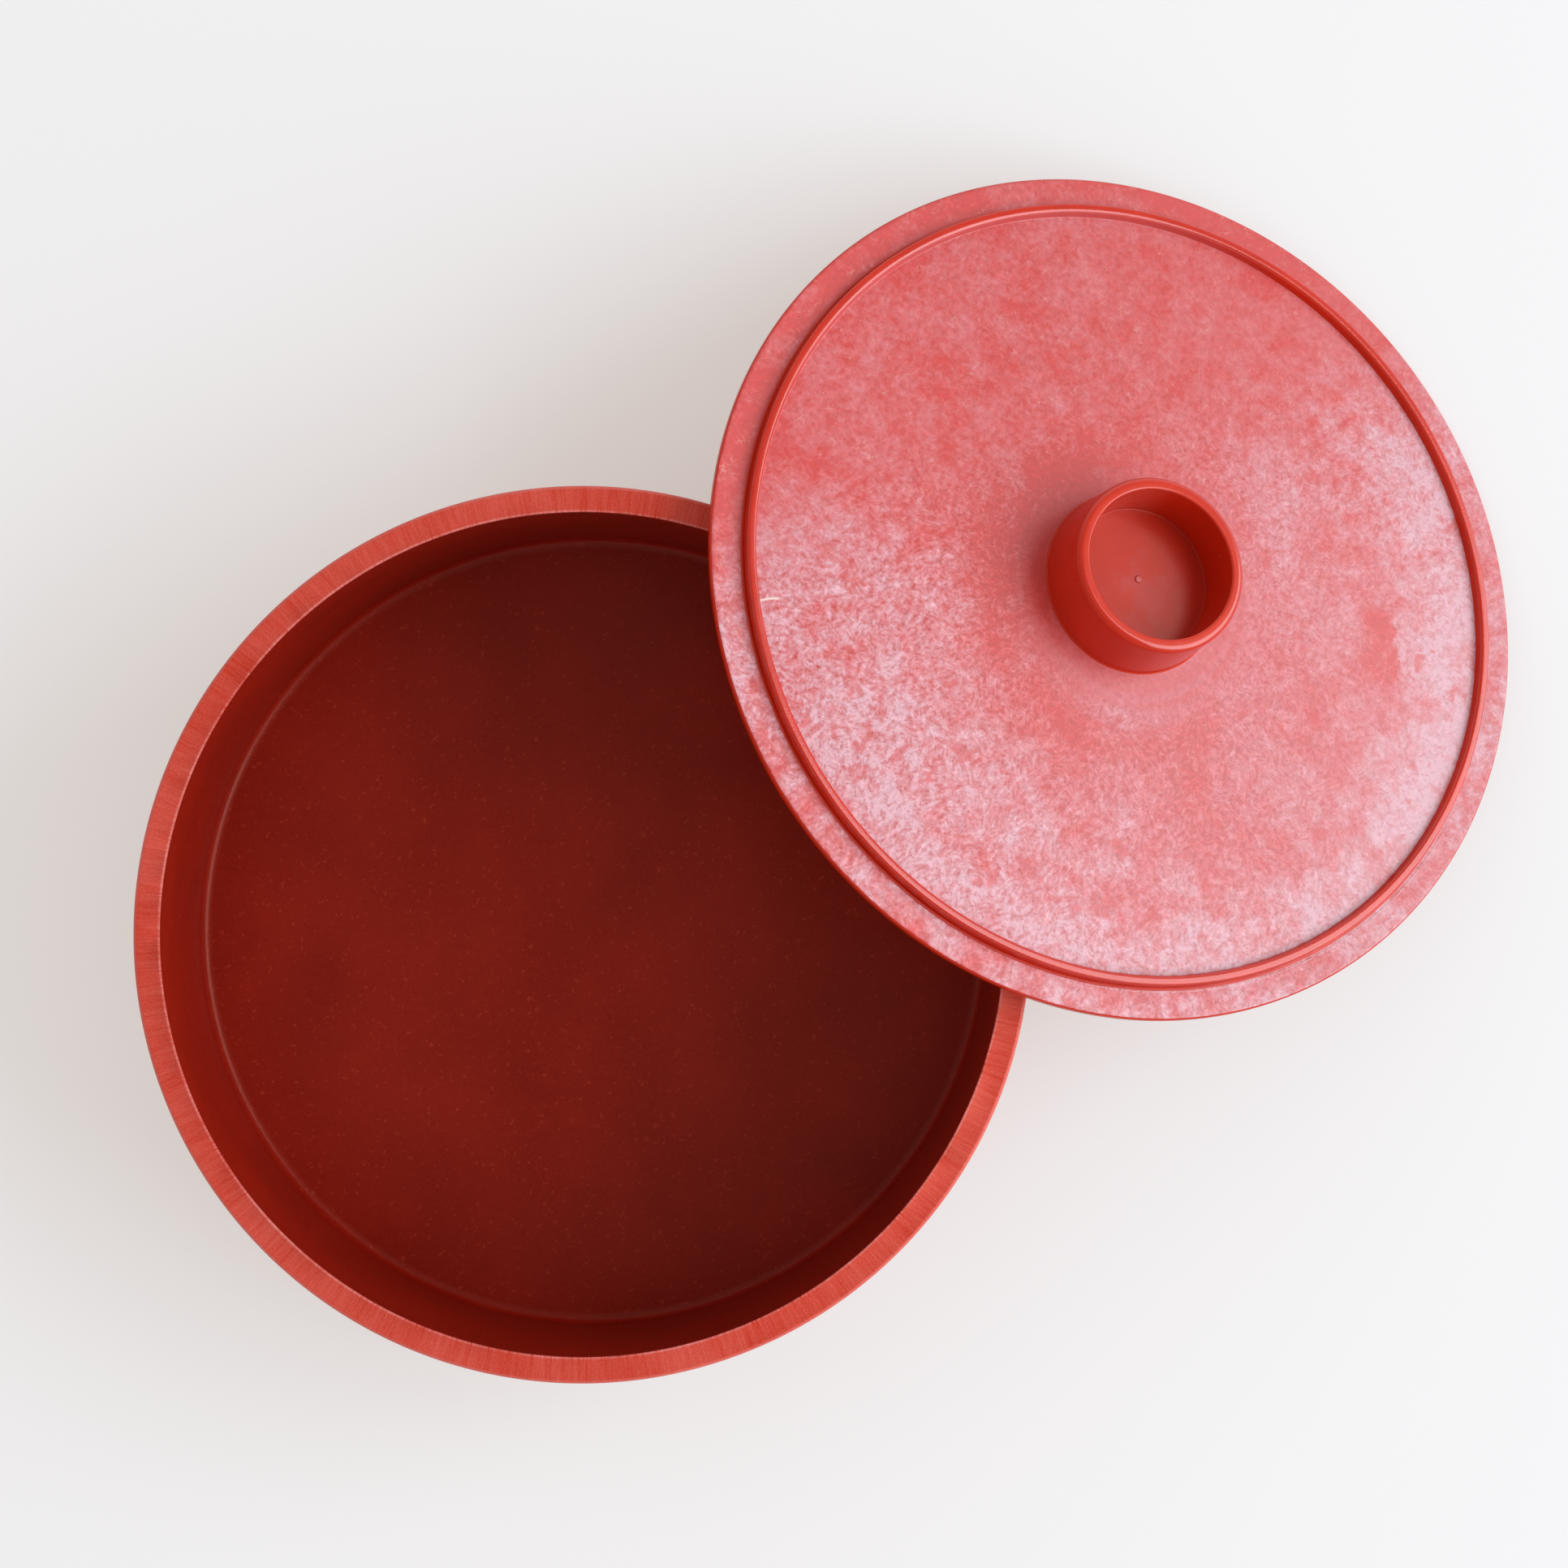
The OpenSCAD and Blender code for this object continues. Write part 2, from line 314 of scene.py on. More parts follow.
dish = {
    "shape": {
        "floorThickness": 2.6,
        "wallThickness": 2.6,
        "wallDraft": 1.0,  # degrees
        "floorFillet": 2.5,
        "heelRound": 5.0,
        "rimWidth": 6.4,
        "rimThickness": 3.0,
        "rimRound": 1.0,
        "underRound": 2.0,
        "footRadius": 92.0,
        "footHeight": 3.4,
        "footWidth": 3.0,
        "footDraft": 0.6,
        "footRound": 0.6,
        "footFillet": 0.8,
        "dimpleRadius": 7.0,
        "dimpleDepth": 0.5,
        "dimpleRound": 0.4,
        "gateRadius": 0.8,
        "gateHeight": 0.35,
        "gateFillet": 0.1,
        "gateRound": 0.15,
        "segments": 540,
    },
    "flash": {  # the thin raised line at the rim's inner edge
        "width": 0.5,
        "height": 0.16,
        "leastHeight": 0.02,
        "root": 0.35,  # below the rim's top face
        # tag, share of the width, roundness
        "corners": (("flashIn", 0.16, 0.06), ("flashTop", 0.6, 0.1), ("flashOut", 1, 0.05)),
        "lift": {"flashIn": 0.4, "flashTop": 1, "flashOut": 0},
        "riseWaves": (0.75, (0.9, 9, 5.1), (0.8, 40, 1.3)),
        "sideWaves": (0, (0.10, 22, 8.4), (0.05, 60, 3.3)),
        "chips": {"size": 34, "seed": 2.7, "over": 0.42, "depth": 2.2},
        "nicks": ((135, 1.4), (147, 1.0)),  # place round the rim in degrees, and depth
        "nickReach": 1.1,  # degrees to each side
        "nickDown": 0.25,
        "nickOut": 0.35,
    },
    # how far below the top and in from the edge the rim's own finish goes
    "rimZone": {"face": 0.6, "shoulder": 1.2, "shoulderWidth": 2},
    "gloss": {"level": 0.35, "tint": (1.0, 0.62, 0.50, 1)},
    "rimFinish": {
        "deep": (0.57, 0.032, 0.013, 1),
        "pale": (0.70, 0.104, 0.076, 1),
        "flash": (0.80, 0.26, 0.24, 1),
        "streakWidth": 0.5,
        "streakChange": 0.14,  # how fast the streaks change on their way outwards
        "streaks": {
            "streak": {"size": 1.0, "rough": 0.6},
            "wide": {"size": 4.0, "detail": 1.0},
        },
        "noises": {"grain": {"size": 0.5}, "clouds": {"size": 22.0, "detail": 3.0}},
        "shade": {"level": 0.5, "streak": 1.2, "wide": 0.6, "clouds": 0.9, "grain": 1.1},
        "roughness": {"level": 0.44, "streak": 0.2, "grain": 0.2},
        "relief": {"streak": 1, "wide": 0.6},
        "depth": 0.03,
        "lineMargin": 0.1,
        "lineSoft": 0.12,
        "lineShare": {"level": 0.4, "streak": 1.6, "clouds": 1.2},
        # the outer shoulder is paler from wear and a painted highlight
        "lipInset": (1.0, 0.4),
        "lipDepth": (1.2, 0.5),
        "shoulderWearAndHighlightShare": 0.3,
    },
    "wallFinish": {
        # deep red, darker than the rim: partly for the smooth finish, partly a painted shade for
        # the dim inside of the bowl
        "body": (0.33, 0.011, 0.003, 1),
        "deep": (0.23, 0.007, 0.002, 1),
        "thread": (0.56, 0.06, 0.03, 1),
        "threads": {"cell": 2.4, "length": 1.8, "width": 0.34, "shift": 3.1, "spread": 6.28},
        "noises": {"grain": {"size": 0.45}, "clouds": {"size": 26.0, "detail": 3.0}},
        "spots": {"size": 1.1, "detail": 1.0, "low": 0.66, "high": 0.74},
        "spotShare": 0.3,
        "shade": {"level": 0.5, "clouds": 1.4, "threads": 0.8},
        "roughness": {"level": 0.34, "threads": 0.3, "clouds": 0.15},
        "relief": {"threads": 0.5, "grain": 0.3},
        "depth": 0.04,
    },
}

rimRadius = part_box("base_dish")[1].x / mm
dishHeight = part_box("base_dish")[1].z / mm
bowlRadius = rimRadius - dish["shape"]["rimWidth"]


def dishOutline(shape, flash):
    slope = math.tan(math.radians(shape["wallDraft"]))
    floorTop = shape["footHeight"] + shape["floorThickness"]
    under = dishHeight - shape["rimThickness"]
    foot, footOut = shape["footHeight"], shape["footRadius"]
    footIn = footOut - shape["footWidth"]
    dimple, gate = shape["dimpleRadius"], shape["gateRadius"]
    gateTop = foot + shape["dimpleDepth"]

    def bowlAt(z):
        return bowlRadius - (dishHeight - z) * slope

    return roundOutline([
        (0, floorTop),
        (bowlAt(floorTop), floorTop, shape["floorFillet"]),
        (bowlRadius, dishHeight - flash["root"]),
        *(
            (bowlRadius + share * flash["width"], dishHeight, bend, tag)
            for tag, share, bend in flash["corners"]
        ),
        (rimRadius, dishHeight, shape["rimRound"]),
        (rimRadius, under, shape["rimRound"]),
        (bowlAt(under) + shape["wallThickness"], under, shape["underRound"]),
        (bowlAt(foot) + shape["wallThickness"], foot, shape["heelRound"]),
        (footOut + shape["footDraft"], foot, shape["footFillet"]),
        (footOut, 0, shape["footRound"]),
        (footIn, 0, shape["footRound"]),
        (footIn - shape["footDraft"], foot, shape["footFillet"]),
        (dimple + shape["dimpleDepth"], foot, shape["dimpleRound"]),
        (dimple, gateTop, shape["dimpleRound"]),
        (gate + shape["gateHeight"] / 2, gateTop, shape["gateFillet"]),
        (gate, gateTop - shape["gateHeight"], shape["gateRound"]),
        (0, gateTop - shape["gateHeight"]),
    ])


def dishStray(tag, azimuth):
    # the flash line varies along the rim, with small chips and a few nicks
    if not tag.startswith("flash"):
        return 0, 0
    flash, chips = dish["flash"], dish["flash"]["chips"]
    chip = roundNoise(azimuth, chips["size"], chips["seed"]) - chips["over"]
    nick = max(0, chip) * chips["depth"]
    for at, deep in flash["nicks"]:
        nick = max(nick, deep * (1 - abs(math.degrees(azimuth) - at) / flash["nickReach"]))
    rise = flash["height"] * roundWaves(azimuth, *flash["riseWaves"])
    rise = max(flash["leastHeight"], rise) - flash["nickDown"] * nick
    side = roundWaves(azimuth, *flash["sideWaves"])
    if tag == "flashOut":
        side += flash["nickOut"] * nick
    return side, flash["lift"][tag] * rise


def dishZone(r, z):
    # the rim's top face and outer shoulder have a finish of their own
    zone = dish["rimZone"]
    onShoulder = z > dishHeight - zone["shoulder"] and r > rimRadius - zone["shoulderWidth"]
    return 1 if z > dishHeight - zone["face"] or onShoulder else 0


def rimPaint(look, gloss):
    # fine streaks run from the rim's inner edge outwards
    paint = Paint(bpy.data.materials.new("rimPlastic"))
    place = paint.place()
    flat = paint.flat(place)
    r = paint.length(flat)
    way = paint.scaled(paint.vector("NORMALIZE", flat), rimRadius)
    change = paint.combined(z=r * look["streakChange"])
    fan = paint.vector("ADD", paint.scaled(way, 1 / look["streakWidth"]), change)
    patterns = {name: paint.drift(fan, **kind) for name, kind in look["streaks"].items()}
    for name, kind in look["noises"].items():
        patterns[name] = paint.drift(place, **kind)
    colour = paint.blend(paint.stack(look["shade"], patterns), look["deep"], look["pale"])

    # paler on the flash line, and on the outer shoulder from wear and a painted highlight
    lineFrom, lineTo = bowlRadius - look["lineMargin"], bowlRadius + dish["flash"]["width"]
    line = paint.between(r, lineFrom, lineTo, look["lineSoft"])
    shoulderWearAndHighlight = paint.ease(r, *(rimRadius - inset for inset in look["lipInset"]))
    shoulderWearAndHighlight = shoulderWearAndHighlight * paint.ease(paint.height(place), *(dishHeight - low for low in look["lipDepth"]))
    pale = line * paint.stack(look["lineShare"], patterns) + shoulderWearAndHighlight * look["shoulderWearAndHighlightShare"]
    colour = paint.blend(pale, colour, look["flash"])
    roughness = paint.stack(look["roughness"], patterns)
    relief = paint.stack(look["relief"], patterns)
    return paint.finish(gloss, colour, roughness, relief, look["depth"])


def wallPaint(look, gloss):
    # short threads in deep red, with a few paler spots; the deep red is partly a painted shade
    # for the bowl's inside
    paint = Paint(bpy.data.materials.new("dishPlastic"))
    place = paint.place()
    patterns = {name: paint.drift(place, **kind) for name, kind in look["noises"].items()}
    patterns["threads"] = paint.fibres(place, **look["threads"])
    colour = paint.blend(paint.stack(look["shade"], patterns), look["deep"], look["body"])
    spots = paint.specks(place, **look["spots"])
    colour = paint.blend(spots * look["spotShare"], colour, look["thread"])
    roughness = paint.stack(look["roughness"], patterns)
    relief = paint.stack(look["relief"], patterns)
    return paint.finish(gloss, colour, roughness, relief, look["depth"])


dishBody = turnedMesh(
    "dishBody",
    dishOutline(dish["shape"], dish["flash"]),
    dish["shape"]["segments"],
    dishStray,
    Matrix(),
    dishZone,
    [wallPaint(dish["wallFinish"], dish["gloss"]), rimPaint(dish["rimFinish"], dish["gloss"])],
)
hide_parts("base_dish")
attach(dishBody, "dish")
print("dish made, rim radius", round(rimRadius, 2), "height", round(dishHeight, 2))

lid = {
    "shape": {
        "flangeThickness": 2.3,
        "flangeRound": 0.8,
        "panelThickness": 2.4,
        "domeRise": 4.9,
        "domeLift": 0.8,  # the dome meets the bead this much above the flat edge
        "domeMargins": (1.0, 1.5),  # from the bead and from the knob to the dome's drawn curve
        "domeSteps": 18,
        "skirtGap": 0.7,
        "skirtHeight": 3.0,
        "skirtThickness": 2.6,
        "skirtRound": 0.8,
        "skirtFillet": 0.3,
        "underInset": 3.2,  # from the skirt in to the underside's edge
        "underMargin": 0.6,
        "recessInset": 1.0,
        "recessRound": 1.2,
        "beadInset": 3.6,  # from the skirt in to the bead's inner foot
        "beadOutset": 0.7,  # and to its outer foot
        "beadHeight": 3.1,
        "beadRoundIn": 0.85,
        "beadRoundOut": 0.5,
        "beadFillet": 0.2,
        "beadInLean": 0.6,
        "beadOutLean": 0.2,
        "beadOff": (0.4, -0.25),  # how far the bead's ring sits off centre
        "stepWidth": 0.7,
        "stepHeight": 0.3,
        "stepRoundOut": 0.12,
        "stepRoundIn": 0.1,
        "knobRadius": 22.1,
        "knobHeight": 16.9,
        "knobFlare": 0.75,
        "knobWall": 3.1,
        "footFillet": 0.6,
        "cupDepth": 13.5,
        "cupTaper": 0.8,
        "cupFillet": 0.25,
        "lipRound": 1.5,
        "lipInner": 0.5,
        "gateRadius": 0.8,
        "gateHeight": 0.35,
        "gateFillet": 0.1,
        "gateRound": 0.15,
        "segments": 480,
    },
    "step": {  # the low step beside the bead, which stands up on one side as a thin fin
        "sideWaves": (0, (0.07, 16, 4.2), (0.05, 55, 6.6)),
        "riseWaves": (0, (0.10, 28, 9.5)),
        "finWaves": (0.3, (0.3, 20, 2.2)),
        "finToward": 185,  # degrees
        "lowest": -0.2,
    },
    "lean": {
        "at": 55.0,  # from the lid's centre to where it leans on the rim
        "rimGap": 0.25,
        "tableGap": 0.15,
    },
    "zones": {  # where the speckle and the glossier tops end
        "domeDepth": 1,
        "edgeInset": 0.4,
        "edgeHeight": 2,
        "beadDepth": 0.8,
        "lipDepth": 0.7,
        "lipOutset": 0.4,
        "lipCrown": 0.35,
    },
    "speckle": {
        "gloss": {"level": 0.8, "tint": (0.60, 0.92, 1.0, 1)},
        "red": (0.62, 0.050, 0.042, 1),
        # the pale of the frost, also used for the painted sheen of the window
        "pale": (0.66, 0.34, 0.39, 1),
        "fibres": {
            "flakes": {"cell": 3.4, "length": 2.6, "width": 0.85, "shift": 1.7, "spread": 2.4},
            "fine": {"cell": 1.9, "length": 1.5, "width": 0.5, "shift": 7.9, "spread": 4.0},
        },
        "noises": {
            "grain": {"size": 0.6, "detail": 1.0},
            "mottle": {"size": 1.7, "rough": 0.6},
            "patches": {"size": 6.5, "detail": 3.0, "rough": 0.6},
            "clouds": {"size": 30.0, "detail": 3.0, "rough": 0.6},
        },
        "crispEdges": ((0.02, 0.12), (-0.14, -0.04)),  # flakes with a sharp upper and lower edge
        "crispLow": 0.8,
        # azimuth, where the side starts and is full along it, and how far noises move its border
        "sides": {
            # painted sheen: the half away from this side, on the window's side, is frostier,
            # partly standing in for the window's reflection
            "plain": (75, 10, 54, {"clouds": 14}),
            "late": (285, 0, 60, {}),
            "calm": (345, 0, 60, {}),
            # on the side towards the window: more frost and a painted sheen
            "bloomAndPaintedLight": (322, 62, 92, {"patches": 10}),
            "rear": (205, 20, 60, {}),
            # painted light: the side turned away from the window is painted lighter
            "lit": (170, -20, 70, {}),
        },
        # calmer round the knob, and frosted towards the bead on the window's half, where the
        # frost is partly a painted sheen
        "ragged": {"r": 1, "clouds": 16, "patches": 12},
        "roughFrom": 2,
        "roughTo": 18,
        "frostFrom": 10,
        "frostLate": 24,
        "frostEarly": 12,
        "frostAndSheen": {"level": 0.15, "half": 0.07, "nearBeadFrostAndSheen": 0.35, "bloomAndPaintedLight": 0.16},
        "cloudFrostAndSheen": {"level": 0.5, "half": 0.5},
        "patchFrostAndSheen": {"level": 0.65, "nearBeadFrostAndSheen": 1.3},
        "patchRough": {"level": 0.3, "rough": 0.7},
        "raysAround": 20.0,
        "raysOut": 16.0,
        "raysShare": 0.5,
        # a paler band inside the bead on the window's half: frost and painted sheen
        "belt": (84.0, 99.0, 5.0),
        "beltShare": 0.11,
        "rearShare": 0.08,
        "edgeFrostAndSheen": {"level": 0.14, "half": 0.10},
        "ripple": {  # rings left by the flow round the knob, and a painted shade: less frost where the knob's shadow falls
            "from": 10,
            "to": 28,
            "width": 1.6,
            "around": 0.6,
            "share": 0.25,
            "drop": 0.04,
            # painted shadow of the knob
            "shade": 0.18,
            "toward": 110,
            "fan": (0.0, 0.8),
        },
        # amount, inner and outer radius and softness of a ring, its azimuth and how it fans out
        "rings": (
            (0.07, 27.0, 30.0, 1.2, 225, 0.2, 0.8),
            (0.12, 31.0, 38.0, 3.5, 236, 0.86, 0.98),
            (-0.08, 36.0, 44.0, 2.5, 190, 0.2, 0.8),
        ),
        "blot": {  # one redder blotch with a sharp edge, and the frost beyond it
            "middle": (55.0, -50.0, 0),
            "outwards": (0.81, -0.58, 0),
            "sideways": (0.58, 0.81, 0),
            "raggedOut": {"beyond": 1, "patches": 6, "mottle": 4},
            "raggedSide": {"beside": 1, "patches": 8},
            "width": (-8.0, 9.0, 4.0),
            # amount, where it starts and where it ends on the way outwards
            "bands": ((-0.36, (-14, -4), (-0.6, 1.0)), (0.20, (-0.6, 2.0), (8, 22))),
        },
        "boldMarks": {"flakes": 0.6, "crisp": 0.13, "mottle": 1.4},
        "boldHalf": {"level": 0.5, "half": 0.5},
        "fineMarks": {"fine": 0.5, "grain": 0.15},
        "fineHalf": {"level": 0.3, "half": 0.7},
        "marksRough": {"level": 0.2, "rough": 0.8},
        "marksFrostAndSheen": {"level": 0.40, "frostAndSheen": 0.85},
        "marksCalm": {"level": 1, "calm": -0.3},
        "blobs": {"size": 7.5, "detail": 3.0, "rough": 0.65, "low": 0.56, "high": 0.68},
        "blobShare": {"level": 0.25, "half": 0.45},
        "blob": (0.60, 0.060, 0.055, 1),
        "hairs": {"size": 2.6, "width": 0.02, "shift": 3.0},
        "hairPatches": {"size": 4.0, "low": 0.5, "high": 0.62},
        "hairShare": 0.4,
        "hair": (0.72, 0.36, 0.32, 1),
        "pits": {"size": 0.9, "detail": 1.0, "low": 0.64, "high": 0.72},
        "pitShare": 0.22,
        "pit": (0.50, 0.055, 0.060, 1),
        "shades": {"grain": 0.3, "fine": 0.5},
        "shadeMottle": 0.4,
        "shadeFlakes": 0.4,
        "shadeRough": {"level": 0.5, "rough": 0.5},
        # how much lighter that side is painted
        "paintedLightShare": 0.08,
        "witness": {  # a line in the flat edge, off centre, where two parts of the mould met
            "radius": 101.7,
            "middle": (1.29, -0.35, 0),
            "toward": 260,
            "fan": (0.84, 1.2, 0.06),
            "half": 0.1,
            "soft": 0.1,
            "insideFrom": 96.0,
            "insideShade": 0.1,
            "groove": (0.55, 0.4),
            "grooveShade": 0.1,
            "dashes": {"size": 1.3, "low": 0.36, "high": 0.56},
            "share": 0.75,
            "colour": (0.84, 0.44, 0.46, 1),
        },
        "scuff": {  # one short pale scuff beside the bead
            "middle": (-84.2, 42.85, 0),
            "lengthways": (0.916, -0.401, 0),
            "across": (0.401, 0.916, 0),
            "half": 2.6,
            "ends": 0.4,
            "arch": 0.3,
            "halfWidth": 0.27,
            "soft": 0.15,
            "share": 0.9,
            "colour": (0.90, 0.74, 0.68, 1),
        },
        "roughness": {"level": 0.40, "marks": 0.25},
        "relief": {"marks": 1, "patches": 0.5, "witness": 0.6},
        "depth": 0.04,
    },
    "gloss": {"level": 0.5, "tint": (1.0, 0.62, 0.55, 1), "rough": 0.24},
    "shine": {"level": 0.9, "tint": (1.0, 0.86, 0.88, 1), "rough": 0.15},
    "smooth": {
        "body": (0.56, 0.020, 0.004, 1),
        "fleck": (0.66, 0.09, 0.06, 1),
        # pale bloom colour, also used for the painted sheen and painted light on the bead's flank
        # and step
        "bloomAndPaintedLight": (0.60, 0.14, 0.15, 1),
        # painted highlight on the gate's raised mark
        "nubHighlight": (0.84, 0.44, 0.46, 1),
        "noises": {"grain": {"size": 0.5}, "clouds": {"size": 14.0, "detail": 3.0}},
        "flecks": {"size": 0.9, "detail": 1.0, "low": 0.70, "high": 0.76},
        "fleckShare": 0.3,
        "cupReach": 0.75,  # above and below the cup's floor
        "cupSoft": 0.25,
        "cupInset": 1,
        "smearMiddle": (-0.5, -3.5, 0),
        "smearNoise": {"size": 4.0, "detail": 3.0, "rough": 0.6},
        "smearRagged": 26,
        "smearFrom": 1.0,
        "smearTo": 10.0,
        # the level is a faint painted sheen over the cup's floor, the smear a pale bloom
        "smearShare": {"level": 0.05, "smear": 0.2},
        "nubSoft": 0.1,
        "nubHighlightShare": 0.2,
        # painted sheen on the bead's inner flank where it faces the window
        "flankToward": (0.26, 0.97, 0),
        "flankSpan": (62, 94),
        "flankWidth": (0.3, 1.4),
        "flankSheenShare": 0.5,
        # painted light on the low step, which lies in the bead's shadow
        "stepBand": (0.1, 1.3),
        "stepSoft": 0.1,
        "stepHeight": (2.0, 2.2),
        "stepPaintedLightShare": 0.35,
        # inCup is a painted shade in the cup
        "shade": {"level": 1, "inCup": -0.16, "clouds": 0.35, "grain": 0.15},
        "roughClouds": 0.12,
        "relief": {"grain": 0.5, "clouds": 1},
        "depth": 0.03,
    },
}


def lidShape(shape, lidRadius):
    # heights are above the underside of the lid's flat edge
    skirt = bowlRadius - shape["skirtGap"]
    beadIn, beadOut = skirt - shape["beadInset"], skirt - shape["beadOutset"]
    knobFoot = shape["knobRadius"] + shape["knobFlare"]
    flange = shape["flangeThickness"]
    domeTop = flange + shape["domeRise"]
    low = flange + shape["domeLift"]
    middle = (beadIn**2 + low**2 - knobFoot**2 - domeTop**2) / (2 * (low - domeTop))
    # the underside's curve meets the level of the flat edge's top face
    footing = skirt - shape["underInset"]
    underMiddle = footing**2 + flange**2 - knobFoot**2 - domeTop**2
    underMiddle = underMiddle / (2 * (flange - domeTop))
    lipTop = domeTop + shape["knobHeight"]
    return {
        "lidRadius": lidRadius,
        "skirt": skirt,
        "beadIn": beadIn,
        "beadOut": beadOut,
        "knobFoot": knobFoot,
        "cupRadius": shape["knobRadius"] - shape["knobWall"],
        "domeTop": domeTop,
        "domeMiddle": middle,
        "domeRadius": math.hypot(beadIn, low - middle),
        "underMiddle": underMiddle,
        "underRadius": math.hypot(footing, flange - underMiddle) - shape["panelThickness"],
        "lipTop": lipTop,
        "cupFloor": lipTop - shape["cupDepth"],
    }


def lidOutline(shape, form):
    dome = form["domeRadius"], form["domeMiddle"]
    underside = form["underRadius"], form["underMiddle"]

    def onDome(r, radius, middle):
        return (r, middle + math.sqrt(radius**2 - r**2))

    def domeCurve(first, last, radius, middle):
        shares = [k / shape["domeSteps"] for k in range(shape["domeSteps"] + 1)]
        return [onDome(first + (last - first) * share, radius, middle) for share in shares]

    recess = form["cupRadius"] - shape["cupTaper"] - shape["recessInset"]
    recessTop = form["cupFloor"] - shape["panelThickness"]
    skirt, skirtFoot = form["skirt"], -shape["skirtHeight"]
    skirtIn = skirt - shape["skirtThickness"]
    flange, edge = shape["flangeThickness"], shape["flangeRound"]
    beadIn, beadOut, beadTop = form["beadIn"], form["beadOut"], flange + shape["beadHeight"]
    stepWidth, stepTop = shape["stepWidth"], flange + shape["stepHeight"]
    gate, gateTop = shape["gateRadius"], form["cupFloor"] + shape["gateHeight"]
    margin, (beadMargin, knobMargin) = shape["underMargin"], shape["domeMargins"]
    return roundOutline([
        (0, recessTop),
        (recess, recessTop, shape["recessRound"]),
        *domeCurve(recess + margin, skirtIn - margin, *underside),
        onDome(skirtIn, *underside),
        (skirtIn, skirtFoot, shape["skirtRound"]),
        (skirt, skirtFoot, shape["skirtRound"]),
        (skirt, 0, shape["skirtFillet"]),
        (form["lidRadius"], 0, edge),
        (form["lidRadius"], flange, edge),
        (beadOut + stepWidth, flange, 0, "stepOut"),
        (beadOut + stepWidth / 2, stepTop, shape["stepRoundOut"], "stepTop"),
        (beadOut, stepTop, shape["stepRoundIn"], "stepIn"),
        (beadOut - shape["beadOutLean"], beadTop, shape["beadRoundOut"], "bead"),
        (beadIn + shape["beadInLean"], beadTop, shape["beadRoundIn"], "bead"),
        (*onDome(beadIn, *dome), shape["beadFillet"], "bead"),
        *domeCurve(beadIn - beadMargin, form["knobFoot"] + knobMargin, *dome),
        (form["knobFoot"], form["domeTop"], shape["footFillet"]),
        (shape["knobRadius"], form["lipTop"], shape["lipRound"]),
        (form["cupRadius"], form["lipTop"], shape["lipInner"]),
        (form["cupRadius"] - shape["cupTaper"], form["cupFloor"], shape["cupFillet"]),
        (gate + shape["gateHeight"] / 2, form["cupFloor"], shape["gateFillet"]),
        (gate, gateTop, shape["gateRound"]),
        (0, gateTop),
    ])


def lidStray(tag, azimuth):
    # the bead's ring is off centre, and the low step beside it is uneven
    step, (offX, offY) = lid["step"], lid["shape"]["beadOff"]
    off = offX * math.cos(azimuth) + offY * math.sin(azimuth)
    if tag == "bead":
        return off, 0
    if not tag.startswith("step"):
        return 0, 0
    finSide = max(0, math.cos(azimuth - math.radians(step["finToward"]))) ** 2
    rise = roundWaves(azimuth, *step["riseWaves"])
    rise = max(step["lowest"], rise + finSide * roundWaves(azimuth, *step["finWaves"]))
    if tag == "stepIn":
        return off, min(0.0, rise)
    return off + roundWaves(azimuth, *step["sideWaves"]), rise if tag == "stepTop" else 0


def lidLean(shape, form, lean, rimRound):
    # the lid leans on the rim's outer edge, with its own low edge on the table
    angle = math.asin(lean["at"] / form["underRadius"])
    reach = form["underRadius"] - rimRound - lean["rimGap"]
    rimSpot = (-reach * math.sin(angle), form["underMiddle"] + reach * math.cos(angle))
    flangeRound = shape["flangeRound"]
    skirtRound = min(shape["skirtRound"], shape["skirtThickness"] / 3)
    edges = [
        (form["lidRadius"] - flangeRound, flangeRound, flangeRound),
        (form["skirt"] - skirtRound, skirtRound - shape["skirtHeight"], skirtRound),
    ]
    leans = []
    for out, up, edgeRound in edges:
        run, lift = out - rimSpot[0], rimSpot[1] - up
        drop = dishHeight - rimRound - lean["tableGap"] - edgeRound
        leans.append(math.asin(drop / math.hypot(run, lift)) - math.atan2(lift, run))
    turn = min(leans)
    sine, cosine = math.sin(turn), math.cos(turn)
    rise = lean["tableGap"] + max(bend + out * sine - up * cosine for out, up, bend in edges)
    along = rimRadius - rimRound - rimSpot[0] * cosine - rimSpot[1] * sine
    return Matrix.Translation(Vector((along, 0, rise)) * mm) @ Matrix.Rotation(turn, 4, "Y")


lidForm = lidShape(lid["shape"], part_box("lid")[1].y / mm)
lidPlace = lidLean(lid["shape"], lidForm, lid["lean"], dish["shape"]["rimRound"])


def lidZone(r, z):
    # 1 on the dome and the flat edge, where the mould was textured, and 2 on the glossier tops
    shape, form, zones = lid["shape"], lidForm, lid["zones"]
    outside = math.hypot(r, z - form["domeMiddle"]) > form["domeRadius"] - zones["domeDepth"]
    onDome = form["knobFoot"] < r < form["beadIn"] and z <= form["domeTop"] and outside
    edgeFrom = form["beadOut"] + shape["stepWidth"]
    onEdge = edgeFrom < r < form["lidRadius"] - zones["edgeInset"] and z > zones["edgeHeight"]
    beadTop = shape["flangeThickness"] + shape["beadHeight"]
    onBead = form["beadIn"] < r < form["beadOut"] and z > beadTop - zones["beadDepth"]
    inLip = r < form["cupRadius"] + zones["lipOutset"] and z > form["lipTop"] - zones["lipDepth"]
    crown = shape["knobRadius"] - shape["lipRound"] < r < shape["knobRadius"]
    onLip = inLip or (crown and z > form["lipTop"] - zones["lipCrown"])
    return 1 if onDome or onEdge else 2 if onBead or onLip else 0


